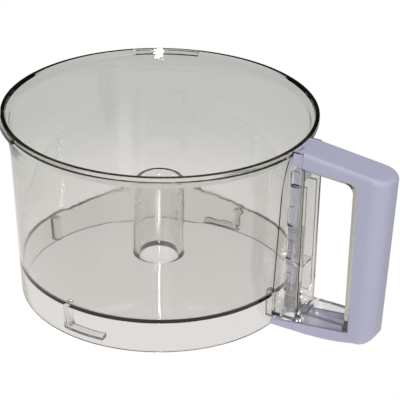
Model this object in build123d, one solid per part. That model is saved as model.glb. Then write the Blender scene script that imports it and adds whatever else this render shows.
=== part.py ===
from build123d import *
import math
import os

# Work bowl of a food processor, with its carrying handle and the safety push rod beside it.
# Millimetres. The bowl's axis is Z, its foot ring stands on z = 0, and the handle points along +X.

# Bowl wall, outside radii at three heights and the wall's thickness there
height = 126.6
foot_radius = 92.2
shoulder_z = 92.0
shoulder_radius = 96.0
neck_z = 119.4
neck_radius = 100.0
skirt_wall = 2.5
low_wall = 2.3
shoulder_wall = 3.5
neck_wall = 3.1

# Rim: a short ring, stepped out from the wall and opening like a funnel inside, that the lid sits on
rim_radius = 102.0
rim_wall = 2.5
rim_foot_z = 121.2
rim_funnel_z = 121.0
rim_round = 0.5

# Floor and drive tube
floor_top = 23.5
floor_thick = 2.5
corner_round = 1.5
corner_overlap = 0.4
tube_top = 76.0
tube_base_radius = 16.6
tube_top_radius = 15.8
tube_lip = 0.6
drive_bore_radius = 13.2
foot_round = 0.6

# Inside the skirt: two L-shaped hooks that lock the bowl to the motor base, and two plain stops
hook_starts = {"front": -100.0, "back": 80.0}
stop_starts = {"right": -6.0, "left": 174.0}
hook_sweep = 18.6
hook_leg_sweep = 2.4
stop_sweep = 3.2
rib_depth = 5.0
rib_ledge_low = 3.6
rib_ledge_high = 6.6

# Lugs under the rim that the lid's clips turn onto
lug_starts = {"back": 106.0, "left": 213.0}
lug_sweep = 26.0
lug_out = 1.6
lug_low = 121.8
lug_high = 124.6

# Rod channel on the wall, up to the rim. The handle's top arm closes its upper end, between its cheeks
channel_width = 26.0
channel_out = 110.0
channel_wall = 2.0
channel_low = 8.0
channel_high = 115.2
channel_round = 1.2
cheek_out = 108.4
cheek_high = 125.4
tip_bore_radius = 5.4
tip_bore_gap = 1.0
tongue_slot = (103.7, 105.3, -9.6, -3.0)
window_in = 100.0
window_out = 105.0
window_height = 13.6
window_middles = (34.9, 58.3, 81.7)
window_round = 1.5
top_window = (101.2, 107.2, 102.2, 113.2)

# Two guide ribs inside the channel, joined by the shelf that the spring stands on
guide_gap = 11.6
guide_thick = 2.2
guide_low = 22.0
guide_high = 101.0
guide_in = 98.9
shelf_in = 95.2
shelf_low = 44.5
shelf_thick = 2.0

# Push rod, its tip, the washer and the spring
rod_x = 100.2
rod_wide = 4.6
rod_thick = 3.0
rod_low = 16.0
rod_high = 104.0
cam = (99.8, 105.6, -5.4, 4.4)
cam_high = 112.6
cam_chamfer = 2.0
tip_radius = 4.7
tip_low = 8.6
tip_high = 28.0
washer_radius = 4.8
washer_low = 67.0
washer_thick = 1.4
spring_radius = 4.1
spring_wire_radius = 0.45
spring_turns = 7
spring_gap = 0.05
slide_gap = 0.3

# Handle cover: a hollow C of top arm, grip and lower arm, open towards the fingers
handle_width = 26.0
cover_wall = 2.4
cover_start = 60.0
grip_corner = 11.0
top_round = 3.0
bottom_round = 1.2
grip_in = 145.6
grip_out_top = 164.8
grip_out_low = 162.3
grip_low_z = 15.0
arm_top = ((cover_start, 126.3), (107.0, 126.2), (153.0, 120.8), (170.0, 117.6))
heel_arc = ((163.6, 19.0), (158.8, 9.6), (150.0, 4.9))
heel_lead = (170.0, 39.0)
arm_bottom = ((150.0, 4.9), (139.0, 2.3), (128.0, 0.9), (117.0, 0.3), (cover_start, 0.3))
tongue_width = 21.6
arm_under_in = 115.9
arm_under_out = 114.1
window_corner = 6.0
low_side_in = 4.9
low_side_out = 10.7

# Clear frame that lines the finger opening, with a tray along the lower arm
finger_out = 142.3
frame_width = 23.6
frame_top_strip = 1.3
flange_depth = 6.0
flange_gap = 0.2
tray_top = 14.4
tray_wall = 1.8


def wall_radius(z):
    """Outside radius of the straight, tapered stretch of skirt and wall."""
    return foot_radius + (shoulder_radius - foot_radius) * z / shoulder_z


def ring(*outline):
    """Solid of revolution about Z of a closed (radius, z) outline of straight edges."""
    return revolve(Plane.XZ * make_face(Polyline(*outline, close=True)), Axis.Z)


def block(x_low, x_high, y_low, y_high, z_low, z_high):
    """Upright box between six limits."""
    size = (x_high - x_low, y_high - y_low, z_high - z_low)
    centre = ((x_low + x_high) / 2, (y_low + y_high) / 2, (z_low + z_high) / 2)
    return Pos(*centre) * Box(*size)


def sector(inner, outer, low, high, start, sweep):
    """Piece of a flat ring between two angles in degrees."""
    face = Plane.XZ * Pos((inner + outer) / 2, (low + high) / 2) * Rectangle(outer - inner, high - low)
    return Rot(0, 0, start) * revolve(face, Axis.Z, revolution_arc=sweep)


def side_view(face, width):
    """Prism of an (x, z) outline, centred on the handle's mid plane."""
    return extrude(Plane.XZ * face, width / 2, both=True)


def flare(base_radius, top_radius, top_z, slope):
    """Curved stretch from the shoulder to the neck, leaving the shoulder along the wall."""
    return TangentArc((base_radius, shoulder_z), (top_radius, top_z), tangent=(slope, shoulder_z))


def bowl_wall():
    """Tapered wall, flared under the stepped rim; it thickens upwards as its core draws out."""
    outer_slope = shoulder_radius - foot_radius
    inner_base = wall_radius(floor_top) - low_wall
    inner_shoulder = shoulder_radius - shoulder_wall
    inner_slope = (inner_shoulder - inner_base) * shoulder_z / (shoulder_z - floor_top)
    outside = flare(shoulder_radius, neck_radius, neck_z, outer_slope)
    inside = flare(inner_shoulder, neck_radius - neck_wall, rim_funnel_z, inner_slope)
    rim_inner = rim_radius - rim_wall
    rim_top = Polyline(
        outside @ 1,
        (rim_radius, rim_foot_z),
        (rim_radius, height - rim_round),
        (rim_radius - rim_round, height),
        (rim_inner, height),
        inside @ 1,
    )
    base = Polyline(
        inside @ 0,
        (inner_base, floor_top),
        (wall_radius(floor_top), floor_top),
        outside @ 0,
    )
    return revolve(Plane.XZ * make_face([outside, rim_top, inside, base]), Axis.Z)


def base_skirt():
    outer_low = wall_radius(foot_round)
    inner_low = outer_low - skirt_wall
    return ring(
        (outer_low - foot_round, 0),
        (outer_low, foot_round),
        (wall_radius(floor_top), floor_top),
        (wall_radius(floor_top) - skirt_wall, floor_top),
        (inner_low, foot_round),
        (inner_low + foot_round, 0),
    )


def bowl_floor(wall):
    underside = floor_top - floor_thick
    inner = wall_radius(floor_top) - skirt_wall
    disc = ring(
        (tube_base_radius, underside),
        (wall_radius(underside) - skirt_wall, underside),
        (inner, floor_top),
        (tube_base_radius, floor_top),
    )
    edge = inner + corner_overlap
    corner_centre = edge - corner_round
    sweep = ThreePointArc(
        (edge, floor_top + corner_round),
        (corner_centre + corner_round * math.sin(math.pi / 4),
         floor_top + corner_round * (1 - math.cos(math.pi / 4))),
        (corner_centre, floor_top),
    )
    back = Polyline(sweep @ 1, (edge, floor_top), sweep @ 0)
    corner = revolve(Plane.XZ * make_face([sweep, back]), Axis.Z)
    return (disc + corner) - wall


def drive_tube():
    return ring(
        (drive_bore_radius, floor_top - floor_thick),
        (tube_base_radius, floor_top - floor_thick),
        (tube_base_radius, floor_top),
        (tube_top_radius, tube_top - tube_lip),
        (tube_top_radius - tube_lip, tube_top),
        (drive_bore_radius, tube_top),
    )


def skirt_rib(top, start, sweep_angle, skirt):
    """Piece of a ring that stands in from the skirt, from the hooks' underside up to top."""
    outer = wall_radius(rib_ledge_high) - skirt_wall / 2
    inner = wall_radius(0) - skirt_wall - rib_depth
    return sector(inner, outer, rib_ledge_low, top, start, sweep_angle) - skirt


def bayonet_hook(start, skirt):
    leg = skirt_rib(floor_top - floor_thick, start, hook_leg_sweep, skirt)
    return leg + skirt_rib(rib_ledge_high, start, hook_sweep, skirt)


def turn_stop(start, skirt):
    return skirt_rib(floor_top - floor_thick, start, stop_sweep, skirt)


def lid_lug(start):
    return sector(rim_radius, rim_radius + lug_out, lug_low, lug_high, start, lug_sweep)


def bowl_envelope():
    """Everything inside the bowl's outer surface, up to the rim."""
    outside = flare(shoulder_radius, neck_radius, neck_z, shoulder_radius - foot_radius)
    rest = Polyline(
        outside @ 1,
        (rim_radius, rim_foot_z),
        (rim_radius, height),
        (0, height),
        (0, 0),
        (wall_radius(0), 0),
        outside @ 0,
    )
    return revolve(Plane.XZ * make_face([outside, rest]), Axis.Z)


def rod_channel(envelope):
    half = channel_width / 2
    inner_half = half - channel_wall
    box = block(cover_start, channel_out, -half, half, channel_low, channel_high)
    box = fillet(box.edges().filter_by(Axis.Z).group_by(Axis.X)[-1], channel_round)
    box += block(cover_start, cheek_out, -half, half, channel_high, cheek_high)
    box -= block(cover_start, channel_out - channel_wall, -inner_half, inner_half,
                 channel_low + channel_wall, channel_high)
    box -= block(cover_start, channel_out, -inner_half, inner_half, channel_high, height)
    box -= Pos(rod_x, 0, channel_low) * Cylinder(tip_bore_radius, 3 * channel_wall)
    windows = [(window_in, window_out, middle - window_height / 2, middle + window_height / 2)
               for middle in window_middles]
    for x_low, x_high, z_low, z_high in windows + [top_window]:
        window = block(x_low, x_high, -handle_width, 0, z_low, z_high)
        box -= fillet(window.edges().filter_by(Axis.Y), window_round)
    return box - envelope


def rod_guide():
    """The two ribs that the rod runs between, and the spring's shelf."""
    back = channel_out - channel_wall
    near = guide_gap / 2
    guide = block(shelf_in, back, -near, near, shelf_low, shelf_low + shelf_thick)
    for start in (-near - guide_thick, near):
        guide += block(guide_in, back, start, start + guide_thick, guide_low, guide_high)
    middle = shelf_low + shelf_thick / 2
    return guide - Pos(rod_x, 0, middle) * Box(
        rod_wide + 2 * slide_gap, rod_thick + 2 * slide_gap, 3 * shelf_thick)


def push_rod():
    half_wide = rod_wide / 2
    half_thick = rod_thick / 2
    strip = block(rod_x - half_wide, rod_x + half_wide, -half_thick, half_thick, rod_low, rod_high)
    head = block(*cam, rod_high, cam_high)
    top_in = head.edges().filter_by(Axis.Y).group_by(Axis.Z)[-1].sort_by(Axis.X)[0]
    return strip + chamfer(top_in, cam_chamfer)


def rod_slot(low, high):
    """Slot that the rod's strip fills, for the pieces pushed onto it."""
    return block(rod_x - rod_wide / 2, rod_x + rod_wide / 2, -rod_thick / 2, rod_thick / 2, low, high)


def rod_tip():
    straight = tip_low + tip_radius
    dome = Pos(rod_x, 0, straight) * Sphere(tip_radius)
    body = Pos(rod_x, 0, (straight + tip_high) / 2) * Cylinder(tip_radius, tip_high - straight)
    return dome + body - rod_slot(rod_low, tip_high + 1)


def spring_washer():
    disc = Pos(rod_x, 0, washer_low + washer_thick / 2) * Cylinder(washer_radius, washer_thick)
    return disc - rod_slot(washer_low - 1, washer_low + washer_thick + 1)


def return_spring():
    low = shelf_low + shelf_thick + spring_wire_radius + spring_gap
    high = washer_low - spring_wire_radius - spring_gap
    path = Helix(pitch=(high - low) / spring_turns, height=high - low, radius=spring_radius)
    section = Plane(origin=path @ 0, z_dir=path % 0) * Circle(spring_wire_radius)
    return Pos(rod_x, 0, low) * sweep(section, path=path)


def side_outline():
    """Side view of the handle, longer than its rounded end."""
    rest = Polyline(*arm_bottom, *arm_top, heel_lead, heel_arc[0])
    return make_face([rest, ThreePointArc(*heel_arc)])


def cover_form(inset):
    """The handle's outer form, or its form shrunk by inset on every side."""
    lean = (grip_out_top - grip_out_low) / (arm_top[-1][1] - grip_low_z)
    foot_x = grip_out_low - lean * grip_low_z
    plan = Pos((cover_start + foot_x) / 2, 0) * Rectangle(foot_x - cover_start, handle_width)
    plan = fillet(plan.vertices().group_by(Axis.X)[-1], grip_corner)
    rise = Vector(lean * height, 0, height)
    grip = extrude(offset(plan, -inset, kind=Kind.INTERSECTION), rise.length, dir=rise.normalized())
    return grip & side_view(offset(side_outline(), -inset, kind=Kind.INTERSECTION), handle_width)


def cover_window():
    """Side view of the opening in the cover, back to inside the bowl's wall."""
    low_slope = (low_side_out - low_side_in) / (grip_in - wall_radius(0))
    high_slope = (arm_under_in - arm_under_out) / (grip_in - channel_out)
    outline = make_face(Polyline(
        (cover_start, low_side_in - low_slope * (wall_radius(0) - cover_start)),
        (grip_in, low_side_out),
        (grip_in, arm_under_out),
        (cover_start, arm_under_out + high_slope * (grip_in - cover_start)),
        close=True,
    ))
    far_top = outline.vertices().group_by(Axis.X)[-1].sort_by(Axis.Y)[-1]
    return fillet(far_top, window_corner)


def border_edges(solid, low, high):
    """Edges between the handle's side and its top or underside, at heights from low to high."""
    edges = [edge for edge in solid.edges() if low < edge.center().Z < high]
    sides = [edge for edge in edges if abs(edge.center().Y) > 1 or edge.center().X > grip_in]
    return [edge for edge in sides if edge.center().X > cover_start + 1]


def handle_cover(envelope):
    body = cover_form(0)
    body = fillet(border_edges(body, arm_under_in, height), top_round)
    body = fillet(border_edges(body, 0, heel_arc[0][1]), bottom_round)
    tip_hole = Pos(rod_x, 0, 0) * Cylinder(tip_bore_radius + tip_bore_gap, channel_low)
    opening = side_view(cover_window(), 2 * handle_width)
    slot = block(*tongue_slot, channel_high, height)
    cover = body - cover_form(cover_wall) - opening - slot - tip_hole - envelope
    for side in (-1, 1):
        beside = sorted((side * tongue_width / 2, side * handle_width))
        cover -= block(cover_start, cheek_out + flange_gap / 2, *beside, channel_high / 2, height)
    return cover


def finger_outline():
    """Side view of the opening that is left for the fingers once the frame is in."""
    outline = make_face(Polyline(
        (channel_out, tray_top),
        (finger_out, tray_top),
        (finger_out, arm_under_out - frame_top_strip),
        (channel_out, arm_under_in - frame_top_strip),
        close=True,
    ))
    far_top = outline.vertices().group_by(Axis.X)[-1].sort_by(Axis.Y)[-1]
    return fillet(far_top, window_corner)


def handle_frame():
    """Clear liner of the finger opening: flanges into the cover, and the open tray below."""
    window = cover_window()
    finger = finger_outline()
    room = cover_form(cover_wall + flange_gap)
    core = cover_form(cover_wall + flange_gap + tray_wall)
    liner = side_view(window - finger, frame_width)
    flanges = side_view(offset(window, flange_depth) - window, handle_width) & room
    beyond = block(channel_out, grip_out_top, -handle_width, handle_width, 0, height)
    lined = side_view(offset(finger, tray_wall), handle_width)
    tray = core & block(channel_out + tray_wall, finger_out - tray_wall,
                        -handle_width, handle_width, 0, tray_top)
    frame = (liner + flanges) & beyond
    middle_z = (tray_top + arm_under_out) / 2
    upper = core - lined - block(0, finger_out + tray_wall, -handle_width, handle_width, 0, middle_z)
    return frame - upper - tray


def main():
    os.makedirs("parts", exist_ok=True)
    envelope = bowl_envelope()
    wall = bowl_wall()
    skirt = base_skirt()
    parts = {
        "bowl_wall": wall,
        "base_skirt": skirt,
        "bowl_floor": bowl_floor(wall),
        "drive_tube": drive_tube(),
        "rod_channel": rod_channel(envelope),
        "rod_guide": rod_guide(),
        "push_rod": push_rod(),
        "rod_tip": rod_tip(),
        "spring_washer": spring_washer(),
        "return_spring": return_spring(),
        "handle_frame": handle_frame(),
        "handle_cover": handle_cover(envelope),
    }
    for name, start in hook_starts.items():
        parts["bayonet_hook_" + name] = bayonet_hook(start, skirt)
    for name, start in stop_starts.items():
        parts["turn_stop_" + name] = turn_stop(start, skirt)
    for name, start in lug_starts.items():
        parts["lid_lug_" + name] = lid_lug(start)
    for name, shape in parts.items():
        export_step(shape, "parts/" + name + ".step")
        print(name, round(shape.volume, 1), len(shape.solids()))


main()
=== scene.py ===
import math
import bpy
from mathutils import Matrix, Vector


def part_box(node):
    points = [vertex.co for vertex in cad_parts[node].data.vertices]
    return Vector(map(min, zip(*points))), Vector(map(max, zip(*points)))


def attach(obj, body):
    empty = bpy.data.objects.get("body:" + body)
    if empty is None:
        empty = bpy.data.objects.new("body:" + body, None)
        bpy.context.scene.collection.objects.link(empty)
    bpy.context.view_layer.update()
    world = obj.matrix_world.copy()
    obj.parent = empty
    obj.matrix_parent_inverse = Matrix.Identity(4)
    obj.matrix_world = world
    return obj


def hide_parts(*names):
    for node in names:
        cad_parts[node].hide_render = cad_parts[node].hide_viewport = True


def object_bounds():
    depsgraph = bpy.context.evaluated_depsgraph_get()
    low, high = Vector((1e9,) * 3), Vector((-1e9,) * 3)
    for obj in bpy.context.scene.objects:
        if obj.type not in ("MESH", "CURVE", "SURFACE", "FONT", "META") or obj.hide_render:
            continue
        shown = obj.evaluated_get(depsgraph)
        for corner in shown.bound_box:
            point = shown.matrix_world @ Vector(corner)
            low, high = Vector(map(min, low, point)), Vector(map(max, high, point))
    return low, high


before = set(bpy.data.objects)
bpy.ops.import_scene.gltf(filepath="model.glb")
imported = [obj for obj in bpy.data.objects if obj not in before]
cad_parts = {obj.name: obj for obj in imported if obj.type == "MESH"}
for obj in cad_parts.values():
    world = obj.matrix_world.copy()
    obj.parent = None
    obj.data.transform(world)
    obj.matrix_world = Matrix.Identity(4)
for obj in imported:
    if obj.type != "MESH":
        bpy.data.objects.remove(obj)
cad_low, cad_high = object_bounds()

# %% [markdown]
# # A clear food processor bowl
# The object is one work bowl: a clear polycarbonate moulding with a tube up its middle, a lilac handle
# cover over a clear inner frame, and a sprung push rod in a channel beside the handle. The frame that is
# loaded above gives the places and the main sizes, and the rest are written here in millimetres. The
# visible pieces are made again with the small radii and the surface of the real ones.

MM = 0.001


def select_only(*objects):
    """Leaves just these objects selected, the first one active."""
    bpy.ops.object.select_all(action="DESELECT")
    for item in objects:
        item.select_set(True)
    bpy.context.view_layer.objects.active = objects[0]


def start_edit(piece, mode="VERT"):
    """Opens a piece in edit mode with nothing selected."""
    select_only(piece)
    bpy.ops.object.mode_set(mode="EDIT")
    bpy.ops.mesh.select_mode(type=mode)
    bpy.ops.mesh.select_all(action="DESELECT")


def end_edit():
    """Goes back to object mode."""
    bpy.ops.object.mode_set(mode="OBJECT")


def apply_place(piece):
    """Puts a piece's place into its mesh, so that its object sits at the origin."""
    select_only(piece)
    bpy.ops.object.transform_apply(location=True, rotation=True, scale=True)


print("frame", [round(v / MM, 1) for v in (*cad_low, *cad_high)], "mm")

# %% [markdown]
# ## The camera
# The bowl is seen from above and in front, with the handle coming towards the right. A long lens
# from about a metre away keeps the rim's ellipse calm, as a catalogue picture does.

# %% Camera
CAMERA_PLACE = (0.4722, -0.7861, 0.5335)
CAMERA_HEADING = math.radians(29.33)
CAMERA_TILT = math.radians(62.70)
CAMERA_ROLL = math.radians(1.21)
LENS, SENSOR_WIDTH = 140.8, 36.0
SIGHT = 100.0

bpy.ops.object.camera_add(location=CAMERA_PLACE)
camera = bpy.context.object
camera.name = "camera"
camera.matrix_world = (
    Matrix.Translation(CAMERA_PLACE)
    @ Matrix.Rotation(CAMERA_HEADING, 4, "Z")
    @ Matrix.Rotation(CAMERA_TILT, 4, "X")
    @ Matrix.Rotation(CAMERA_ROLL, 4, "Z")
)
camera.data.lens = LENS
camera.data.sensor_width = SENSOR_WIDTH
camera.data.clip_end = SIGHT
scene = bpy.context.scene
scene.camera = camera
print("camera is", round(camera.location.length, 3), "m from the foot")

# %% [markdown]
# ## Small tools for nodes and colours
# Every material below is a node tree. One function adds a node with its settings and links, and one
# turns the sRGB hex colours that people read off a sample into the linear values Blender works in.

# %% Node tools
def linear(hex_colour):
    """An sRGB hex colour as linear values with alpha 1."""
    values = [int(hex_colour[i:i + 2], 16) / 255 for i in (0, 2, 4)]
    return [v / 12.92 if v <= 0.04045 else ((v + 0.055) / 1.055) ** 2.4 for v in values] + [1.0]


def add_node(tree, kind, settings=None, links=None):
    """Adds a node, sets its properties and input values, and links sockets into its inputs."""
    node = tree.nodes.new(kind)
    for key, value in (settings or {}).items():
        if hasattr(node, key):
            setattr(node, key, value)
        else:
            node.inputs[key].default_value = value
    for key, socket in (links or {}).items():
        tree.links.new(socket, node.inputs[key])
    return node


def new_material(name, shader_settings):
    """A material with a Principled shader on its output: the material, its tree and the shader."""
    material = bpy.data.materials.new(name)
    material.use_nodes = True
    tree = material.node_tree
    tree.nodes.clear()
    shader = add_node(tree, "ShaderNodeBsdfPrincipled", shader_settings)
    output = add_node(tree, "ShaderNodeOutputMaterial", links={"Surface": shader.outputs["BSDF"]})
    output.name = "out"
    return material, tree, shader


print("a mid grey sample is", round(linear("808080")[0], 3), "in linear light")

# %% [markdown]
# ## The paper
# Clear plastic has no look of its own: it shows what stands behind it and what it mirrors. A studio
# sets it on lit white paper in a dark room, so that the body is pale and the edges, which pipe in the
# dark, are drawn black. Here the paper is not lit but glows, with a painted pool of light: it is painted
# bright under the bowl and greyer behind it. Seen directly it is pure white, as in a catalogue cut-out,
# and the Light Path node tells the two apart.

# %% Paper
PAPER_SIZE = 40.0
PAPER_GAP = 0.0002
# Where the painted pool of light on the paper fades, in metres from the axis.
FALLOFF_FROM, FALLOFF_TO = 0.10, 0.30

bpy.ops.mesh.primitive_plane_add(size=PAPER_SIZE, location=(0, 0, cad_low.z - PAPER_GAP))
floor = bpy.context.object
floor.name = "floor"
paper = bpy.data.materials.new("white_paper")
paper.use_nodes = True
tree = paper.node_tree
tree.nodes.clear()
place = add_node(tree, "ShaderNodeTexCoord")
distance = add_node(tree, "ShaderNodeVectorMath", {"operation": "LENGTH"},
                    {"Vector": place.outputs["Object"]})
away = add_node(tree, "ShaderNodeMapRange", {
    "interpolation_type": "SMOOTHSTEP", "From Min": FALLOFF_FROM, "From Max": FALLOFF_TO},
    {"Value": distance.outputs["Value"]})
# Painted pool of light: the paper's glow is painted brighter near the bowl and greyer further out.
painted_pool_tones = add_node(tree, "ShaderNodeValToRGB", links={"Fac": away.outputs["Result"]})
painted_pool_tones.color_ramp.elements[0].color = linear("E5E1DF")
painted_pool_tones.color_ramp.elements[1].color = linear("C8C9C6")
seen = add_node(tree, "ShaderNodeLightPath")
cut_out = add_node(tree, "ShaderNodeMixRGB", {"Color2": linear("FFFFFF")}, {
    "Fac": seen.outputs["Is Camera Ray"], "Color1": painted_pool_tones.outputs["Color"]})
glow = add_node(tree, "ShaderNodeEmission", links={"Color": cut_out.outputs["Color"]})
add_node(tree, "ShaderNodeOutputMaterial", links={"Surface": glow.outputs["Emission"]})
floor.data.materials.append(paper)
print("paper falls off from", FALLOFF_FROM, "to", FALLOFF_TO, "m from the axis")

# %% [markdown]
# ## The lamps
# A big soft box above models the handle. A small one in front makes the crisp highlights on the tube
# and the rim. A third, at the handle's side, lights the cover but is hidden from mirrors, because its
# picture in the far rim would be one highlight too many. The room is nearly black, and light may pass
# through many walls before it is dropped, as each wall of the bowl is two faces.

# %% Lamps and the dark room
def softbox(name, place, aim, size, power):
    """A rectangular area light at place, facing aim."""
    bpy.ops.object.light_add(type="AREA", location=place)
    light = bpy.context.object
    light.name = name
    light.data.shape = "RECTANGLE"
    light.data.size, light.data.size_y = size
    light.data.energy = power
    light.rotation_euler = (Vector(aim) - Vector(place)).to_track_quat("-Z", "Y").to_euler()
    return light


AIM = (0.05, 0.0, 0.06)
softbox("top_softbox", place=(0.1, 0.1, 1.6), aim=AIM, size=(1.2, 1.2), power=11.5)
softbox("front_softbox", place=(0.62, -0.98, 0.72), aim=AIM, size=(0.13, 0.17), power=6.6)
side_light = softbox("side_softbox", place=(1.3, -0.5, 0.75), aim=AIM, size=(0.7, 0.9), power=4.0)
side_light.visible_glossy = False

world = bpy.data.worlds.new("dark_room")
scene.world = world
world.use_nodes = True
room = world.node_tree.nodes["Background"]
room.inputs["Color"].default_value = linear("353535")

WALL_BOUNCES, MIRROR_BOUNCES = 24, 8
BRIGHTEST_BOUNCE = 40.0
scene.view_settings.view_transform = "Standard"
scene.cycles.max_bounces = WALL_BOUNCES
scene.cycles.transmission_bounces = WALL_BOUNCES
scene.cycles.glossy_bounces = MIRROR_BOUNCES
scene.cycles.blur_glossy = 0.0
scene.cycles.sample_clamp_indirect = BRIGHTEST_BOUNCE

# %% [markdown]
# ## Drawing outlines
# Moulded parts are mostly a closed line that is spun round an axis or pulled along one. The line is
# drawn in edit mode, point by point, from a single vertex. Corners are rounded in the line itself,
# because the corner radii of a clear moulding are what bend the light.

# %% Points, arcs and rounded corners
def point(x, z):
    """A point in the plane y = 0, given in millimetres."""
    return Vector((x, 0.0, z)) * MM


def tangent_arc(start, heading, end, steps):
    """Points after start on the arc that leaves it along heading and ends at end, in a y plane."""
    chord = end - start
    heading = heading.normalized()
    turn = math.atan2(heading.x * chord.z - heading.z * chord.x, heading.dot(chord))
    points = []
    for step in range(1, steps + 1):
        angle = turn * step / steps
        length = chord.length * math.sin(angle) / math.sin(turn)
        points.append(start + Matrix.Rotation(-angle, 3, "Y") @ heading * length)
    return points


def round_corner(before, corner, after, radius, steps=4):
    """Points of a rounded corner between two straight runs, its radius in millimetres."""
    to_before = (before - corner).normalized()
    to_after = (after - corner).normalized()
    reach = radius * MM / math.tan(to_before.angle(to_after) / 2)
    first = corner + to_before * reach
    last = corner + to_after * reach
    return [first] + tangent_arc(first, -to_before, last, steps)


print("a right corner of 2 mm is", len(round_corner(point(0, 9), point(0, 0), point(9, 0), 2)), "points")

# %% Lines, rings, prisms and blocks
LINE_WELD, SPIN_WELD = 0.001 * MM, 0.005 * MM


def draw_outline(name, outline):
    """A closed line of edges through the points, all selected in edit mode."""
    bpy.ops.object.select_all(action="DESELECT")
    bpy.ops.mesh.primitive_plane_add(size=MM)
    piece = bpy.context.object
    piece.name = name
    bpy.ops.object.mode_set(mode="EDIT")
    bpy.ops.mesh.select_mode(type="VERT")
    bpy.ops.mesh.select_all(action="SELECT")
    bpy.ops.mesh.merge(type="CENTER")
    bpy.ops.transform.translate(value=outline[0])
    for here, there in zip(outline, outline[1:] + outline[:1]):
        bpy.ops.mesh.extrude_region_move(TRANSFORM_OT_translate={"value": there - here})
    bpy.ops.mesh.select_all(action="SELECT")
    bpy.ops.mesh.remove_doubles(threshold=LINE_WELD)
    return piece


def close_skin(weld):
    """In edit mode, welds the piece's points and turns its faces outwards, then ends the edit."""
    bpy.ops.mesh.select_all(action="SELECT")
    if weld:
        bpy.ops.mesh.remove_doubles(threshold=weld)
    bpy.ops.mesh.normals_make_consistent(inside=False)
    end_edit()


def spin_outline(name, outline, steps):
    """A ring: the outline spun once round the Z axis."""
    piece = draw_outline(name, outline)
    bpy.ops.mesh.spin(steps=steps, angle=math.tau, center=(0, 0, 0), axis=(0, 0, 1))
    close_skin(SPIN_WELD)
    return piece


def pull_outline(name, outline, pull):
    """A prism: the outline filled and extruded by the vector pull."""
    piece = draw_outline(name, outline)
    bpy.ops.mesh.edge_face_add()
    bpy.ops.mesh.extrude_region_move(TRANSFORM_OT_translate={"value": pull})
    close_skin(None)
    return piece


def side_prism(name, outline, width):
    """A prism of a side view, centred on the handle's middle plane, its width in millimetres."""
    half = Vector((0, width / 2, 0)) * MM
    return pull_outline(name, [p - half for p in outline], 2 * half)


def block(name, x_low, x_high, y_low, y_high, z_low, z_high):
    """A box between six limits in millimetres."""
    centre = Vector((x_low + x_high, y_low + y_high, z_low + z_high)) / 2 * MM
    bpy.ops.mesh.primitive_cube_add(size=1, location=centre)
    piece = bpy.context.object
    piece.name = name
    piece.scale = Vector((x_high - x_low, y_high - y_low, z_high - z_low)) * MM
    apply_place(piece)
    return piece


print("lines are welded within", round(LINE_WELD / MM, 3), "mm and spun rings within",
      round(SPIN_WELD / MM, 3), "mm")

# %% [markdown]
# ## Joining, cutting and rounding
# A Boolean modifier joins or cuts two closed skins. The Manifold solver is used, because it keeps a
# spun bowl whole and leaves closed skins. Edges are bevelled after a piece has its form and before it
# is joined to the next one, so that each bevel runs along clean edges. Cutters run PAST the faces they
# open, and joined pieces start inside each other, so that no film of no thickness is left between them.

# %% Joining, cutting and rounding
PAST = 1.0
BEVEL_WELD = 0.002 * MM


def combine(piece, tool, operation):
    """Applies a Boolean of the tool to the piece and removes the tool."""
    modifier = piece.modifiers.new("combine", "BOOLEAN")
    modifier.operation = operation
    modifier.solver = "MANIFOLD"
    modifier.object = tool
    select_only(piece)
    bpy.ops.object.modifier_apply(modifier=modifier.name)
    bpy.data.objects.remove(tool)
    return piece


def round_edges(piece, width, segments, where, sharpness=35):
    """Bevels the sharp edges whose middle, in millimetres, passes the test where."""
    start_edit(piece, "EDGE")
    bpy.ops.mesh.edges_select_sharp(sharpness=math.radians(sharpness))
    end_edit()
    mesh = piece.data
    chosen = 0
    for edge in mesh.edges:
        middle = (mesh.vertices[edge.vertices[0]].co + mesh.vertices[edge.vertices[1]].co) / 2 / MM
        edge.select = edge.select and where(middle)
        chosen += edge.select
    for item in (*mesh.vertices, *mesh.polygons):
        item.select = False
    bpy.ops.object.mode_set(mode="EDIT")
    bpy.ops.mesh.bevel(offset=width * MM, segments=segments, affect="EDGES", clamp_overlap=False)
    close_skin(BEVEL_WELD)
    return chosen


print("bevelled corners are welded within", round(BEVEL_WELD / MM, 3), "mm")

# %% [markdown]
# ## The clear moulding
# Wall, rim, floor, skirt and centre tube are one shot of clear polycarbonate in one tool. Their
# section is a single closed line, so it is drawn once and spun round the axis. One closed skin
# matters: light bends at every face it meets, and a seam inside would show.

# %% Sizes of the section, from the frame where it has them
HEIGHT = cad_high.z / MM
RIM_OUT = 102.0
FLOOR_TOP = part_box("bowl_wall")[0].z / MM
FLOOR_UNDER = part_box("drive_tube")[0].z / MM
TUBE_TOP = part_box("drive_tube")[1].z / MM
TUBE_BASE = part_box("drive_tube")[1].x / MM
TUBE_HEAD = TUBE_BASE - 0.8
BORE = 13.2
FOOT_OUT = 92.2
SHOULDER_Z, SHOULDER_OUT = 92.0, 96.0
NECK_Z, NECK_OUT = 118.9, 99.8
RIM_FOOT, NECK_IN_Z = 122.6, 121.0
RIM_WALL, SKIRT_WALL = 2.5, 2.5
LOW_WALL, SHOULDER_WALL, NECK_IN = 2.3, 3.5, 96.9


def wall_out(height):
    """Outside radius of the straight stretch at a height."""
    return FOOT_OUT + (SHOULDER_OUT - FOOT_OUT) * height / SHOULDER_Z


print("wall is", round(wall_out(0), 1), "mm from the axis at the foot and",
      round(wall_out(FLOOR_TOP), 1), "at the floor")

# %% Section corners, and the flare between shoulder and neck
FLARE_STEPS = 12

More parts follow.
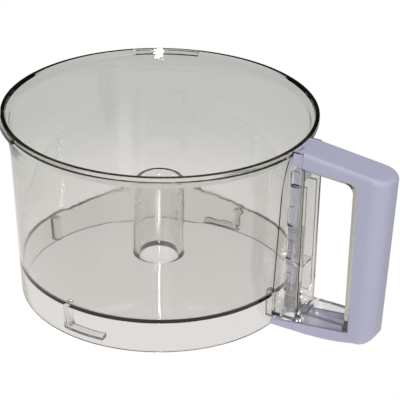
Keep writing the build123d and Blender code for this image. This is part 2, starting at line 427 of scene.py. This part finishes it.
foot_out = point(wall_out(0), 0)
foot_in = point(wall_out(0) - SKIRT_WALL, 0)
shoulder = point(SHOULDER_OUT, SHOULDER_Z)
neck = point(NECK_OUT, NECK_Z)
rim_foot = point(RIM_OUT, RIM_FOOT)
rim_top_out = point(RIM_OUT, HEIGHT)
rim_top_in = point(RIM_OUT - RIM_WALL, HEIGHT)
neck_in = point(NECK_IN, NECK_IN_Z)
shoulder_in = point(SHOULDER_OUT - SHOULDER_WALL, SHOULDER_Z)
corner_in = point(wall_out(FLOOR_TOP) - LOW_WALL, FLOOR_TOP)
tube_foot = point(TUBE_BASE, FLOOR_TOP)
tube_head = point(TUBE_HEAD, TUBE_TOP)
tube_lip = point(BORE, TUBE_TOP)
bore_foot = point(BORE, FLOOR_UNDER)
under_corner = point(wall_out(FLOOR_UNDER) - SKIRT_WALL, FLOOR_UNDER)

flare_out = tangent_arc(shoulder, shoulder - foot_out, neck, FLARE_STEPS)
flare_in = tangent_arc(shoulder_in, shoulder_in - corner_in, neck_in, FLARE_STEPS)
print("flare ends", round(flare_out[-1].x / MM, 1), "mm out and", round(flare_in[-1].x / MM, 1), "mm in")

# %% [markdown]
# ## The section's radii
# The inside of the rim is a funnel, from the neck out to the top edge. It sends light down the wall,
# which is why the near rim is drawn black and the far one pale. The neck and the step under the rim
# are soft, the rim's own edges are nearly sharp, and the floor meets the wall in a small radius that
# shows as one dark line.

# %% Section line, round the corners in order, then the spin
FOOT_ROUND, NECK_ROUND, RIM_STEP_ROUND, RIM_ROUND = 0.6, 2.0, 3.0, 0.3
FLOOR_ROUND, TUBE_FOOT_ROUND, TUBE_HEAD_ROUND, TUBE_LIP_ROUND = 1.5, 0.8, 0.8, 0.5
BORE_ROUND, UNDER_ROUND = 0.2, 0.5
NECK_STEPS, FLOOR_STEPS = 6, 5
SPIN_STEPS = 192

section = round_corner(foot_in, foot_out, shoulder, FOOT_ROUND)
section += [shoulder] + flare_out[:-1]
section += round_corner(flare_out[-2], neck, rim_foot, NECK_ROUND, NECK_STEPS)
section += round_corner(neck, rim_foot, rim_top_out, RIM_STEP_ROUND, NECK_STEPS)
section += round_corner(rim_foot, rim_top_out, rim_top_in, RIM_ROUND)
section += round_corner(rim_top_out, rim_top_in, neck_in, RIM_ROUND)
section += list(reversed(flare_in)) + [shoulder_in]
section += round_corner(shoulder_in, corner_in, tube_foot, FLOOR_ROUND, FLOOR_STEPS)
section += round_corner(corner_in, tube_foot, tube_head, TUBE_FOOT_ROUND)
section += round_corner(tube_foot, tube_head, tube_lip, TUBE_HEAD_ROUND)
section += round_corner(tube_head, tube_lip, bore_foot, TUBE_LIP_ROUND)
section += round_corner(tube_lip, bore_foot, under_corner, BORE_ROUND)
section += round_corner(bore_foot, under_corner, foot_in, UNDER_ROUND)
section += round_corner(under_corner, foot_in, foot_out, FOOT_ROUND)
bowl = spin_outline("bowl_moulding", section, SPIN_STEPS)
print("section of", len(section), "points, spun to", len(bowl.data.polygons), "faces")

# %% [markdown]
# ## Hooks, stops and lugs
# Two L-shaped hooks inside the skirt lock the bowl to its base: an upright leg under the floor, and a
# ledge that runs round from its foot. Two plain uprights stand between them and stop the turn. Two low
# lugs outside the rim hold the lid. Each is a piece of a flat ring, so a rectangle is spun through a
# few degrees, and its edges are eased as a mould's are.

# %% Pieces of a ring
def ring_piece(name, inner, outer, low, high, start, sweep):
    """A rectangle spun from the angle start through sweep degrees about the Z axis."""
    corners = [point(inner, low), point(outer, low), point(outer, high), point(inner, high)]
    piece = draw_outline(name, corners)
    bpy.ops.mesh.edge_face_add()
    bpy.ops.mesh.spin(steps=max(2, round(sweep / 2)), angle=math.radians(sweep),
                      center=(0, 0, 0), axis=(0, 0, 1))
    close_skin(LINE_WELD)
    spun_back = min(v.co.y for v in piece.data.vertices) < -MM
    piece.rotation_euler.z = math.radians(start + (sweep if spun_back else 0))
    apply_place(piece)
    return piece


HOOK_STARTS, STOP_STARTS = (-100.0, 80.0), (-6.0, 174.0)
HOOK_SWEEP, LEG_SWEEP, STOP_SWEEP = 18.6, 2.4, 3.2
HOOK_IN, HOOK_OUT = 84.7, 91.2
LEDGE_LOW, LEDGE_HIGH = 3.6, 6.6
LEG_TOP = FLOOR_UNDER + PAST
EASE, EASE_STEPS = 0.5, 2

for start in HOOK_STARTS:
    hook = ring_piece("hook", HOOK_IN, HOOK_OUT, LEDGE_LOW, LEDGE_HIGH, start, HOOK_SWEEP)
    leg = ring_piece("leg", HOOK_IN, HOOK_OUT, LEDGE_LOW, LEG_TOP, start, LEG_SWEEP)
    combine(hook, leg, "UNION")
    round_edges(hook, EASE, EASE_STEPS, lambda middle: middle.z < FLOOR_UNDER)
    combine(bowl, hook, "UNION")

for start in STOP_STARTS:
    stop = ring_piece("stop", HOOK_IN, HOOK_OUT, LEDGE_LOW, LEG_TOP, start, STOP_SWEEP)
    round_edges(stop, EASE, EASE_STEPS, lambda middle: middle.z < FLOOR_UNDER)
    combine(bowl, stop, "UNION")
print("bowl with hooks and stops:", len(bowl.data.polygons), "faces")

# %% Lugs for the lid
LUG_STARTS, LUG_SWEEP = (106.0, 213.0), 26.0
LUG_LOW, LUG_HIGH, LUG_PROUD = 121.8, 124.6, 1.6

for start in LUG_STARTS:
    lug = ring_piece("lug", RIM_OUT - PAST, RIM_OUT + LUG_PROUD, LUG_LOW, LUG_HIGH, start, LUG_SWEEP)
    round_edges(lug, EASE, EASE_STEPS, lambda middle: middle.to_2d().length > RIM_OUT)
    combine(bowl, lug, "UNION")
print("and with lugs:", len(bowl.data.polygons), "faces")

# %% [markdown]
# ## The rod channel
# A box on the wall carries the push rod. Its near cheek has four core windows, which show as dark
# outlines, because their walls pipe the dark room. It is cut from blocks, as its steel was, trimmed
# by the bowl's own outside, and joined to the bowl, so that no doubled face is left between them.

# %% The bowl's outside as a cutter
def cut_by_bowl(piece, bite):
    """Takes away what lies inside the bowl's wall, bite millimetres under its skin."""
    low, high = -PAST, HEIGHT + PAST
    skin = [point(wall_out(low), low), shoulder, *flare_out, rim_foot, point(RIM_OUT, high)]
    outline = [point(0, low), *(p - point(bite, 0) for p in skin), point(0, high)]
    return combine(piece, spin_outline("core", outline, SPIN_STEPS), "DIFFERENCE")


# %% Channel box and the room in it
CHANNEL_FROM = 80.0
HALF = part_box("rod_channel")[1].y / MM
CHANNEL_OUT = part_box("rod_channel")[1].x / MM
CHANNEL_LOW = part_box("rod_channel")[0].z / MM
CHANNEL_HIGH = 115.2
CHANNEL_WALL, CHANNEL_ROUND, ROUND_STEPS = 2.0, 1.2, 4
CHEEK_LOW, CHEEK_OUT = 100.0, 108.4
CHEEK_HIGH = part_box("rod_channel")[1].z / MM

room_half = HALF - CHANNEL_WALL
channel = block("channel", CHANNEL_FROM, CHANNEL_OUT, -HALF, HALF, CHANNEL_LOW, CHANNEL_HIGH)
round_edges(channel, CHANNEL_ROUND, ROUND_STEPS,
            lambda middle: middle.x > CHANNEL_OUT - PAST and abs(middle.y) > room_half
            and CHANNEL_LOW + PAST < middle.z < CHANNEL_HIGH - PAST)
cheeks = block("cheeks", CHANNEL_FROM, CHEEK_OUT, -HALF, HALF, CHEEK_LOW, CHEEK_HIGH)
combine(channel, cheeks, "UNION")
room_back = CHANNEL_OUT - CHANNEL_WALL
rod_room = block("room", CHANNEL_FROM - PAST, room_back, -room_half, room_half,
                 CHANNEL_LOW + CHANNEL_WALL, CHEEK_HIGH + PAST)
combine(channel, rod_room, "DIFFERENCE")
top_room = block("top", CHANNEL_FROM - PAST, CHANNEL_OUT + PAST, -room_half, room_half,
                 CHANNEL_HIGH, CHEEK_HIGH + PAST)
combine(channel, top_room, "DIFFERENCE")
print("channel box:", len(channel.data.polygons), "faces")

# %% Hole for the rod's tip, core windows, and the trim to the bowl
ROD_X = 100.2
TIP_HOLE, TIP_HOLE_DEPTH = 5.4, 4.0
HOLE_SIDES = 64
WINDOW_IN, WINDOW_OUT, WINDOW_TALL, WINDOW_ROUND = 100.0, 105.0, 13.6, 1.5
WINDOW_MIDDLES, TOP_WINDOW = (34.9, 58.3, 81.7), (101.2, 107.2, 102.2, 113.2)
WINDOWS = [(WINDOW_IN, WINDOW_OUT, middle - WINDOW_TALL / 2, middle + WINDOW_TALL / 2)
           for middle in WINDOW_MIDDLES] + [TOP_WINDOW]
BITE = 0.8


def drill(piece, radius, low, high):
    """Cuts a round hole on the rod's axis."""
    bpy.ops.mesh.primitive_cylinder_add(vertices=HOLE_SIDES, radius=radius * MM,
                                        depth=(high - low) * MM,
                                        location=point(ROD_X, (low + high) / 2))
    bit = bpy.context.object
    apply_place(bit)
    return combine(piece, bit, "DIFFERENCE")


drill(channel, TIP_HOLE, 0, CHANNEL_LOW + TIP_HOLE_DEPTH)
for x_low, x_high, z_low, z_high in WINDOWS:
    window = block("window", x_low, x_high, -HALF - PAST, 0, z_low, z_high)
    round_edges(window, WINDOW_ROUND, ROUND_STEPS, lambda middle: -HALF < middle.y < -PAST)
    combine(channel, window, "DIFFERENCE")
cut_by_bowl(channel, BITE)
print("channel with", len(WINDOWS), "windows:", len(channel.data.polygons), "faces")

# %% [markdown]
# ## Guide ribs and shelf
# Inside the channel two upright ribs keep the rod straight, and a shelf carries the spring. The rod
# passes through a slot in the shelf. All are blocks let into the back wall, and the ribs' fronts are
# eased.

# %% Guide ribs and the shelf under the spring
GUIDE_FRONT, GUIDE_BACK = 98.9, room_back + 0.5
GUIDE_IN, GUIDE_OUT, GUIDE_LOW, GUIDE_HIGH = 5.8, 8.0, 22.0, 101.0
GUIDE_ROUND, GUIDE_STEPS, GUIDE_EASED_TO = 0.5, 3, 100.0
SHELF_FRONT, SHELF_HALF, SHELF_LOW, SHELF_HIGH = 95.2, 6.0, 44.5, 46.5
SLOT_X, SLOT_Y, SLOT_LOW, SLOT_HIGH = 2.6, 1.8, 40.0, 50.0

for side in (-1, 1):
    near, far = sorted((side * GUIDE_IN, side * GUIDE_OUT))
    rib = block("guide_rib", GUIDE_FRONT, GUIDE_BACK, near, far, GUIDE_LOW, GUIDE_HIGH)
    round_edges(rib, GUIDE_ROUND, GUIDE_STEPS, lambda middle: middle.x < GUIDE_EASED_TO)
    combine(channel, rib, "UNION")
shelf = block("shelf", SHELF_FRONT, GUIDE_BACK, -SHELF_HALF, SHELF_HALF, SHELF_LOW, SHELF_HIGH)
slot = block("slot", ROD_X - SLOT_X, ROD_X + SLOT_X, -SLOT_Y, SLOT_Y, SLOT_LOW, SLOT_HIGH)
combine(shelf, slot, "DIFFERENCE")
combine(channel, shelf, "UNION")
print("channel with ribs and shelf:", len(channel.data.polygons), "faces")

# %% [markdown]
# ## The handle's form
# The grip is round towards the palm and leans a little, the top arm falls away from the rim, and the
# heel turns under in one curve. So the form is what two prisms share: a plan with a rounded end,
# pulled up along the lean, and the side view, pulled across. The cover's shell, the clear frame and
# the room inside it all start from this one form, each shrunk by its own gap.

# %% Form of the handle, shrunk by an inset
GRIP_HALF, GRIP_CORNER, GRIP_STEPS = 13.0, 11.0, 14
GRIP_TOP_OUT, GRIP_LOW_OUT = 164.8, 161.4
GRIP_TOP_Z, GRIP_LOW_Z = 117.6, 15.0
LEAN = (GRIP_TOP_OUT - GRIP_LOW_OUT) / (GRIP_TOP_Z - GRIP_LOW_Z)
COVER_START, BEYOND = 60.0, 170.0
ARM_TOP = ((COVER_START, 126.3), (107.0, 126.2), (153.0, 120.8), (BEYOND, GRIP_TOP_Z))
HEEL = ((BEYOND, 32.0), (162.6, 13.5), (159.8, 8.2), (153.5, 5.3))
HEEL_STEPS = 4
ARM_UNDER = ((139.0, 2.3), (128.0, 0.9), (117.0, 0.3), (COVER_START, 0.3))
WIDE, TALL = 60.0, 130.0


def handle_form(name, inset):
    """The solid handle, its outside shrunk by inset millimetres."""
    end = GRIP_LOW_OUT - LEAN * GRIP_LOW_Z - inset
    half = GRIP_HALF - inset
    corners = [point(x, y) for x, y in
               ((COVER_START, -half), (end, -half), (end, half), (COVER_START, half))]
    plan = [corners[0], *round_corner(*corners[:3], GRIP_CORNER - inset, GRIP_STEPS),
            *round_corner(*corners[1:], GRIP_CORNER - inset, GRIP_STEPS), corners[3]]
    lying = [Vector((p.x, p.z, -MM)) for p in plan]
    form = pull_outline(name, lying, Vector((LEAN, 0, 1)) * TALL * MM)
    side = [point(x, z - inset) for x, z in ARM_TOP]
    far, low, knee, heel = [point(x - inset, z + inset) for x, z in HEEL]
    side.reverse()
    side += [point(x, z + inset) for x, z in reversed(ARM_UNDER)]
    halfway, chord = (knee - low).normalized(), heel - low
    bend = tangent_arc(low, 2 * chord.dot(halfway) * halfway - chord, heel, HEEL_STEPS)
    side += [*reversed(bend), low, far]
    return combine(form, side_prism("side", side, WIDE), "INTERSECT")


print("the grip leans", round(math.degrees(math.atan(LEAN)), 1), "degrees")

# %% [markdown]
# ## The clear frame in the handle
# Inside the cover sits a clear liner: a band round the finger opening, flanges that the cover snaps
# over, and an open tray along the lower arm. It belongs to the same shot as the bowl. Each space in it
# is a prism of the finger opening, grown by its own wall, so the walls stay even.

# %% A prism of the finger opening
OPENING_STEPS = 8


def rounded_side(corners, corner):
    """Four corners of a side view, the two at the grip rounded."""
    return [*corners[:2], *round_corner(*corners[1:], corner, OPENING_STEPS), corners[3]]


def opening(name, x_out, low, high, corner, width):
    """A prism of the finger opening; low and high are its heights at the channel and at the grip."""
    corners = [point(CHANNEL_OUT, low[0]), point(x_out, low[1]),
               point(x_out, high[1]), point(CHANNEL_OUT, high[0])]
    return side_prism(name, rounded_side(corners, corner), width)


# %% Band and flange of the frame
COVER_WALL, SNAP_GAP, TRAY_WALL = 2.4, 0.2, 1.8
FRAME_INSET = COVER_WALL + SNAP_GAP
GRIP_IN, FINGER_OUT = 145.6, 142.3
TRAY_TOP = 14.4
OPENING_ROUND = 6.0
LINER_LOW, LINER_HIGH, LINER_WIDTH = (6.8, 10.7), (115.9, 114.1), 23.6
FLANGE_LOW, FLANGE_HIGH, FLANGE_GROWS = (0.8, 4.7), (121.9, 120.1), 6.0
FINGER_HIGH = (114.6, 112.8)

liner = opening("liner", GRIP_IN, LINER_LOW, LINER_HIGH, OPENING_ROUND, LINER_WIDTH)
flange = opening("flange", GRIP_IN + FLANGE_GROWS, FLANGE_LOW, FLANGE_HIGH,
                 OPENING_ROUND + FLANGE_GROWS, WIDE)
combine(flange, handle_form("room", FRAME_INSET), "INTERSECT")
combine(liner, flange, "UNION")
finger = opening("finger", FINGER_OUT, (TRAY_TOP, TRAY_TOP), FINGER_HIGH, OPENING_ROUND, WIDE)
combine(liner, finger, "DIFFERENCE")
print("band and flange:", len(liner.data.polygons), "faces")

# %% Hollow of the frame, and its tray
LINED_LOW, LINED_HIGH = (12.6, 12.6), (116.4, 114.6)
HOLLOW_FROM = 63.0

hollow = handle_form("hollow", FRAME_INSET + TRAY_WALL)
lined = opening("lined", FINGER_OUT + TRAY_WALL, LINED_LOW, LINED_HIGH, OPENING_ROUND + TRAY_WALL, WIDE)
combine(hollow, lined, "DIFFERENCE")
lower = block("lower", 0, FINGER_OUT + TRAY_WALL, -WIDE, WIDE, -PAST, HOLLOW_FROM)
combine(hollow, lower, "DIFFERENCE")
combine(liner, hollow, "DIFFERENCE")

tray = handle_form("tray", FRAME_INSET + TRAY_WALL)
tray_room = block("tray_room", CHANNEL_OUT + TRAY_WALL, FINGER_OUT - TRAY_WALL,
                  -WIDE, WIDE, 0, TRAY_TOP + PAST)
combine(tray, tray_room, "INTERSECT")
combine(liner, tray, "DIFFERENCE")
print("frame:", len(liner.data.polygons), "faces")

# %% Everything clear becomes one skin
combine(channel, liner, "UNION")
combine(bowl, channel, "UNION")
print("clear moulding:", len(bowl.data.polygons), "faces")

# %% [markdown]
# ## The lilac handle cover
# A separate opaque moulding, snapped over the frame. Its upper edges are soft to the hand, those under
# the lower arm are tighter, and it is hollow towards the fingers. The solid form gets its rounding
# first, and is then hollowed, opened for the fingers, slotted for the lid's tongue, drilled for the
# switch pin, and cut back beside the channel's cheeks.

# %% Cover: the form and its rounded edges
UPPER_FROM, UPPER_ROUND, UPPER_STEPS = 110.0, 3.0, 6
UNDER_TO, UNDERSIDE_ROUND, UNDER_STEPS = 26.0, 1.4, 4
MIDDLE_LINE, GRIP_END, FLAT_SIDE = 1.0, 160.0, 12.9

cover = handle_form("handle_cover_shell", 0)
above = round_edges(cover, UPPER_ROUND, UPPER_STEPS,
                    lambda m: m.z > UPPER_FROM and m.x > COVER_START + PAST
                    and (abs(m.y) > MIDDLE_LINE or m.x > GRIP_END))
below = round_edges(cover, UNDERSIDE_ROUND, UNDER_STEPS,
                    lambda m: m.z < UNDER_TO and m.x > COVER_START + PAST and abs(m.y) > FLAT_SIDE)
print("cover rounds", above, "edges above and", below, "below")

# %% Cover: its hollow, openings and eased rims
WINDOW_LOW, WINDOW_HIGH = (1.2, 10.7), (118.4, 114.1)
TONGUE_SLOT = (103.7, 105.3, -9.6, -3.0, 110, 130)
SWITCH_HOLE, SWITCH_LOW, SWITCH_HIGH = 6.4, -5, 8
BESIDE_FROM, BESIDE_IN, BESIDE_OUT, BESIDE_LOW, BESIDE_HIGH = 50, 10.8, 20.0, 70, 130
BOWL_GAP, CHEEK_GAP = 0.05, 0.1
RIM_EASE, RIM_EASE_STEPS, RIM_SHARPNESS = 0.5, 3, 60
RIM_FROM, RIM_TO, RIM_LOW, RIM_HIGH, ON_SIDE = 96, 146.2, 3, 117, 0.02


def on_side_rim(middle):
    """True for an edge of the cover's open side rims, round the fingers."""
    return (abs(abs(middle.y) - GRIP_HALF) < ON_SIDE
            and RIM_FROM < middle.x < RIM_TO and RIM_LOW < middle.z < RIM_HIGH)


combine(cover, handle_form("cavity", COVER_WALL), "DIFFERENCE")
corners = [point(COVER_START, WINDOW_LOW[0]), point(GRIP_IN, WINDOW_LOW[1]),
           point(GRIP_IN, WINDOW_HIGH[1]), point(COVER_START, WINDOW_HIGH[0])]
combine(cover, side_prism("window", rounded_side(corners, OPENING_ROUND), WIDE), "DIFFERENCE")
combine(cover, block("tongue_slot", *TONGUE_SLOT), "DIFFERENCE")
drill(cover, SWITCH_HOLE, SWITCH_LOW, SWITCH_HIGH)
for side in (-1, 1):
    near, far = sorted((side * BESIDE_IN, side * BESIDE_OUT))
    beside = block("beside", BESIDE_FROM, CHEEK_OUT + CHEEK_GAP, near, far, BESIDE_LOW, BESIDE_HIGH)
    combine(cover, beside, "DIFFERENCE")
cut_by_bowl(cover, -BOWL_GAP)
rims = round_edges(cover, RIM_EASE, RIM_EASE_STEPS, on_side_rim, RIM_SHARPNESS)
print("cover:", rims, "edges eased,", len(cover.data.polygons), "faces")

# %% [markdown]
# ## The push rod
# A flat strip with a cam head that the lid's tongue presses. The strip is a block, and the head is a
# side view with a sloping nose, pulled across and eased, and joined to the strip's upper end.

# %% Push rod
ROD_HALF_X, ROD_HALF_Y = 2.3, 1.5
ROD_LOW, ROD_HIGH = 16.0, 104.5
HEAD_SIDE = ((99.8, 104.0), (105.6, 104.0), (105.6, 112.6), (101.8, 112.6), (99.8, 110.6))
HEAD_FROM, HEAD_WIDTH, HEAD_EASE = -5.4, 9.8, 0.4

strip = block("push_rod_strip", ROD_X - ROD_HALF_X, ROD_X + ROD_HALF_X, -ROD_HALF_Y, ROD_HALF_Y,
              ROD_LOW, ROD_HIGH)
aside = Vector((0, HEAD_FROM, 0)) * MM
head = pull_outline("head", [point(x, z) + aside for x, z in HEAD_SIDE], Vector((0, HEAD_WIDTH, 0)) * MM)
round_edges(head, HEAD_EASE, EASE_STEPS, lambda m: m.z > ROD_HIGH)
combine(strip, head, "UNION")
print("push rod:", len(strip.data.polygons), "faces")

# %% [markdown]
# ## Finishes
# Real materials are never one value. A moulded surface is an even colour with a fine relief from the
# mould and a slow change of sheen over it. So each finish starts from noise of a real size in
# millimetres, and a bump of a real depth made from it.

# %% Noise and bump of a real size
def ripple(tree, size_mm, depth_mm, detail=2.0, stretch=(1, 1, 1)):
    """Noise of a real size and a bump from it of a real depth."""
    place = add_node(tree, "ShaderNodeTexCoord")
    scaled = add_node(tree, "ShaderNodeMapping", {"Scale": stretch}, {"Vector": place.outputs["Object"]})
    noise = add_node(tree, "ShaderNodeTexNoise", {"Scale": 1 / (size_mm * MM), "Detail": detail},
                     {"Vector": scaled.outputs["Vector"]})
    return noise, add_node(tree, "ShaderNodeBump", {"Strength": 1.0, "Distance": depth_mm * MM},
                           {"Height": noise.outputs["Fac"]})


NOISE_LOW, NOISE_HIGH = 0.3, 0.7
print("noise is read between", NOISE_LOW, "and", NOISE_HIGH)

# %% [markdown]
# ## Moulded polycarbonate
# The bowl is injection moulded in a polished tool: glass clear and glossy, with an IOR of 1.585. To the
# eye it is pale grey where it is thick, black where light pipes along it, and it ripples a little
# where the melt flowed, in upright waves about 22 mm across. A volume takes some light on the way
# through, blue the most. The lamps' shadow rays pass straight through, or the rod and the tray behind
# the walls would stay unlit.

# %% Moulded polycarbonate: clear, glossy, slightly smoky
FLOW_RIPPLE = {"size_mm": 22.0, "depth_mm": 0.012, "detail": 1.0, "stretch": (1, 1, 0.35)}

clear, tree, shader = new_material("moulded_polycarbonate", {
    "Base Color": linear("FFFFFF"), "IOR": 1.585, "Transmission Weight": 1.0})
noise, bump = ripple(tree, **FLOW_RIPPLE)
tree.links.new(bump.outputs["Normal"], shader.inputs["Normal"])
haze = add_node(tree, "ShaderNodeMapRange", {
    "From Min": NOISE_LOW, "From Max": NOISE_HIGH, "To Min": 0.01, "To Max": 0.05},
    {"Value": noise.outputs["Fac"]})
tree.links.new(haze.outputs["Result"], shader.inputs["Roughness"])
seen = add_node(tree, "ShaderNodeLightPath")
let_through = add_node(tree, "ShaderNodeBsdfTransparent", {"Color": linear("EFEFED")})
either = add_node(tree, "ShaderNodeMixShader", links={"Fac": seen.outputs["Is Shadow Ray"]})
tree.links.new(shader.outputs["BSDF"], either.inputs[1])
tree.links.new(let_through.outputs["BSDF"], either.inputs[2])
tree.links.new(either.outputs["Shader"], tree.nodes["out"].inputs["Surface"])
smoke = add_node(tree, "ShaderNodeVolumeAbsorption", {"Density": 40.0, "Color": linear("C4C2AF")})
tree.links.new(smoke.outputs["Volume"], tree.nodes["out"].inputs["Volume"])
print(clear.name, "has", len(tree.nodes), "nodes")

# %% [markdown]
# ## Satin ABS
# The cover is lilac ABS from a spark-eroded tool, which leaves a fine grain and soft highlights. The
# real grain is near a tenth of a millimetre, too fine to show, so it is drawn at 0.45 mm. Colour and
# sheen drift a little over a few centimetres, as on a cover that has been handled.

# %% Satin ABS: lilac, soft highlights, fine grain
SPARK_GRAIN = {"size_mm": 0.45, "depth_mm": 0.012, "detail": 3.0}
DRIFT_PER_METRE = 28.0

lilac, tree, shader = new_material("satin_abs", {})
noise, bump = ripple(tree, **SPARK_GRAIN)
tree.links.new(bump.outputs["Normal"], shader.inputs["Normal"])
place = add_node(tree, "ShaderNodeTexCoord")
cloud = add_node(tree, "ShaderNodeTexNoise", {"Scale": DRIFT_PER_METRE, "Detail": 4.0},
                 {"Vector": place.outputs["Object"]})
tint = add_node(tree, "ShaderNodeMixRGB", {"Color1": linear("BABAD4"), "Color2": linear("C4C4DC")},
                {"Fac": cloud.outputs["Fac"]})
tree.links.new(tint.outputs["Color"], shader.inputs["Base Color"])
shine = add_node(tree, "ShaderNodeMapRange", {
    "From Min": NOISE_LOW, "From Max": NOISE_HIGH, "To Min": 0.36, "To Max": 0.52},
    {"Value": cloud.outputs["Fac"]})
tree.links.new(shine.outputs["Result"], shader.inputs["Roughness"])
print(lilac.name, "has", len(tree.nodes), "nodes")

# %% [markdown]
# ## Matt acetal
# The rod, its tip and the washer are acetal, a waxy engineering plastic that slides without grease. To
# the eye it is matt and a little milky, so it gets a high roughness and a faint mottle. The mottle is
# drawn at 0.8 mm, coarser than the real one, so that it shows.

# %% Matt acetal in lilac and in grey
def acetal(name, dark, light):
    """Waxy matt plastic with a faint mottle between two colours."""
    material, tree, shader = new_material(name, {"Roughness": 0.55})
    noise, bump = ripple(tree, size_mm=0.8, depth_mm=0.01, detail=3.0)
    tree.links.new(bump.outputs["Normal"], shader.inputs["Normal"])
    mottle = add_node(tree, "ShaderNodeMixRGB", {"Color1": linear(dark), "Color2": linear(light)},
                      {"Fac": noise.outputs["Fac"]})
    tree.links.new(mottle.outputs["Color"], shader.inputs["Base Color"])
    return material


rod_lilac = acetal("lilac_acetal", "B4B4CE", "C0C0D8")
tip_grey = acetal("grey_acetal", "8A8C90", "9C9EA2")
print("acetal in", rod_lilac.name, "and", tip_grey.name)

# %% [markdown]
# ## Drawn spring steel
# The spring is cold-drawn wire, a metal, so its colour is in its reflections. Drawing leaves it
# bright with fine marks that break the shine up, drawn here at 0.5 mm so that they show.

# %% Drawn spring steel
steel, tree, shader = new_material("spring_steel", {"Base Color": linear("B8B8B4"), "Metallic": 1.0})
noise, bump = ripple(tree, size_mm=0.5, depth_mm=0.01)
tree.links.new(bump.outputs["Normal"], shader.inputs["Normal"])
wire_shine = add_node(tree, "ShaderNodeMapRange", {"To Min": 0.22, "To Max": 0.40},
                      {"Value": noise.outputs["Fac"]})
tree.links.new(wire_shine.outputs["Result"], shader.inputs["Roughness"])
print(steel.name, "has", len(tree.nodes), "nodes")

# %% [markdown]
# ## Handing over
# Each piece gets its finish, the body it moves with and the names of the nodes it stands for. Its
# faces are made triangles first, with the tidiest diagonals, because long thin ones show as streaks in a
# glossy surface. Bends under 28 degrees are then shaded smooth, and weighted normals keep the flat
# faces flat.

# %% Hand each piece its finish, its body and the nodes it stands for
SMOOTH_BELOW = 28
FLAT_WEIGHT = 60


def hand_over(piece, material, slot, body, *nodes):
    """Gives a piece its material, smooth faces with flat ones kept flat, and its place in the frame."""
    piece.data.materials.clear()
    piece.data.materials.append(material)
    for polygon in piece.data.polygons:
        polygon.material_index = 0
    start_edit(piece)
    bpy.ops.mesh.select_all(action="SELECT")
    bpy.ops.mesh.quads_convert_to_tris(quad_method="BEAUTY", ngon_method="BEAUTY")
    end_edit()
    bpy.ops.object.shade_smooth_by_angle(angle=math.radians(SMOOTH_BELOW))
    modifier = piece.modifiers.new("flats", "WEIGHTED_NORMAL")
    modifier.keep_sharp = True
    modifier.weight = FLAT_WEIGHT
    bpy.ops.object.modifier_apply(modifier=modifier.name)
    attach(piece, body)
    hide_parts(*nodes)
    print(piece.name, len(piece.data.polygons), "faces")


hand_over(bowl, clear, "clear_polycarbonate", "bowl",
          "bowl_wall", "base_skirt", "bowl_floor", "drive_tube",
          "rod_channel", "rod_guide", "handle_frame",
          "bayonet_hook_front", "bayonet_hook_back", "turn_stop_right", "turn_stop_left",
          "lid_lug_back", "lid_lug_left")
hand_over(cover, lilac, "lilac_abs", "bowl", "handle_cover")
hand_over(strip, rod_lilac, "lilac_acetal", "rod", "push_rod")

for name, material in (("rod_tip", tip_grey), ("spring_washer", tip_grey), ("return_spring", steel)):
    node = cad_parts[name]
    for holder in node.material_slots:
        holder.material = material
